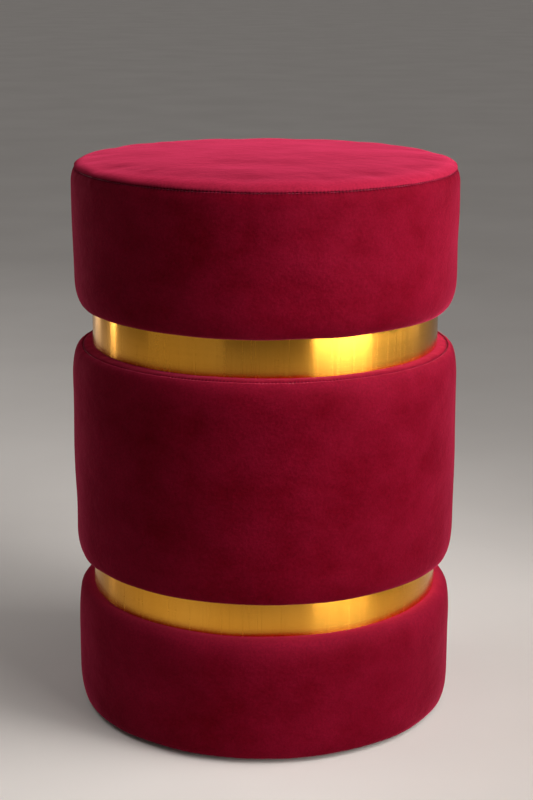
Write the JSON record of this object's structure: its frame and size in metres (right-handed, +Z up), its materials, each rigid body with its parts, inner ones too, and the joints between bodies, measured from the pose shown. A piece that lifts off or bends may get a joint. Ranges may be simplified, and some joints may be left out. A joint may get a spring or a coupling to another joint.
{
  "type": "round pouf stool",
  "caption": "Round velvet pouf stool of stacked upholstered drums parted by recessed gold-coloured bands, for sitting at a drum kit, dressing table or in a lounge.",
  "frame": {"origin": "on the floor, at the centre of the stool's round footprint", "axes": "+Z up, along the axis of the three drums and the two bands; -Y the front; +Y the back, where the butt joint of each band is"},
  "size_m": [0.354, 0.354, 0.514],
  "materials": {
    "velvet": "satin",
    "gold_steel": "polished",
    "foam": "matte",
    "wadding": "matte",
    "plywood": "matte",
    "pine": "matte",
    "hardboard": "matte",
    "zinc_steel": "satin",
    "lining_cloth": "matte",
    "black_plastic": "satin"
  },
  "bodies": {
    "root": {"base_bottom_board": "plywood", "base_cover": "velvet", "base_foam_wrap": "foam", "base_hoop": "hardboard", "base_post_1": "pine", "base_post_2": "pine", "base_post_3": "pine", "base_post_4": "pine", "base_top_board": "plywood", "dust_cover": "lining_cloth", "glide_1": "black_plastic", "glide_2": "black_plastic", "glide_3": "black_plastic", "glide_4": "black_plastic", "glide_screw_1": "zinc_steel", "glide_screw_2": "zinc_steel", "glide_screw_3": "zinc_steel", "glide_screw_4": "zinc_steel", "lower_band": "gold_steel", "lower_band_core": "plywood", "lower_band_pin_1": "gold_steel", "lower_band_pin_2": "gold_steel", "lower_joint_screw_1": "zinc_steel", "lower_joint_screw_2": "zinc_steel", "lower_joint_screw_3": "zinc_steel", "lower_joint_screw_4": "zinc_steel", "middle_bottom_board": "plywood", "middle_foam_wrap": "foam", "middle_hoop": "hardboard", "middle_post_1": "pine", "middle_post_2": "pine", "middle_post_3": "pine", "middle_post_4": "pine", "middle_side_panel": "velvet", "middle_top_board": "plywood", "middle_top_panel": "velvet", "seat_bottom_board": "plywood", "seat_foam": "foam", "seat_foam_wrap": "foam", "seat_hoop": "hardboard", "seat_post_1": "pine", "seat_post_2": "pine", "seat_post_3": "pine", "seat_post_4": "pine", "seat_side_panel": "velvet", "seat_top_board": "plywood", "seat_top_panel": "velvet", "seat_wadding": "wadding", "upper_band": "gold_steel", "upper_band_core": "plywood", "upper_band_pin_1": "gold_steel", "upper_band_pin_2": "gold_steel", "upper_joint_screw_1": "zinc_steel", "upper_joint_screw_2": "zinc_steel", "upper_joint_screw_3": "zinc_steel", "upper_joint_screw_4": "zinc_steel"}
  },
  "joints": []
}
